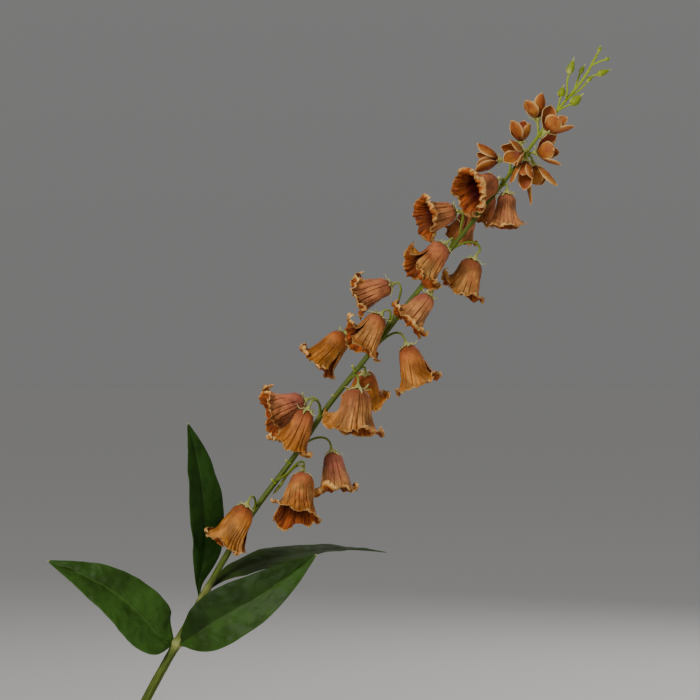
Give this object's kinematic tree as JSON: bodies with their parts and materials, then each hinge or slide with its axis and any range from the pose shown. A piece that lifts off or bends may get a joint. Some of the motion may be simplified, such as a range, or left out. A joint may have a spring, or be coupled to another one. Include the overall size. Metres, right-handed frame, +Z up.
{
  "type": "cut stem of bell flowers in a vase",
  "caption": "Leaning cut stem with wrinkled rust-orange bell flowers, small open flowers, green buds and pointed leaves, standing in a plain stoneware bottle vase of water.",
  "frame": {"origin": "the middle of the vase's flat foot, on the surface that it stands on", "axes": "+Z is up. The stem leans towards +X. +Y points away from the viewer, who sees the flowers from -Y."},
  "size_m": [0.4466, 0.1318, 0.6963],
  "materials": {
    "stoneware": "plain warm grey stoneware, satin matt glaze with fine specks",
    "water": "still clear water",
    "stem_green": "soft olive green stem, yellower and brighter at the buds",
    "leaf_green": "smooth deep green leaf, softly glossy, with raised veins",
    "petal_rust": "wrinkled rust-orange petal, matt, pinker at the crown and tan at the lip"
  },
  "bodies": {
    "root": {"vase": "stoneware", "water": "water", "stem": "stem_green", "leaf_1": "leaf_green", "leaf_2": "leaf_green", "leaf_3": "leaf_green", "leaf_4": "leaf_green", "bell_01": "petal_rust", "bell_02": "petal_rust", "bell_03": "petal_rust", "bell_04": "petal_rust", "bell_05": "petal_rust", "bell_06": "petal_rust", "bell_07": "petal_rust", "bell_08": "petal_rust", "bell_09": "petal_rust", "bell_10": "petal_rust", "bell_11": "petal_rust", "bell_12": "petal_rust", "bell_13": "petal_rust", "bell_14": "petal_rust", "bell_15": "petal_rust", "bell_16": "petal_rust", "bell_17": "petal_rust", "bell_18": "petal_rust", "bell_19": "petal_rust", "floret_1": "petal_rust", "floret_2": "petal_rust", "floret_3": "petal_rust", "floret_4": "petal_rust", "floret_5": "petal_rust", "floret_6": "petal_rust", "floret_7": "petal_rust", "floret_8": "petal_rust"}
  },
  "joints": []
}
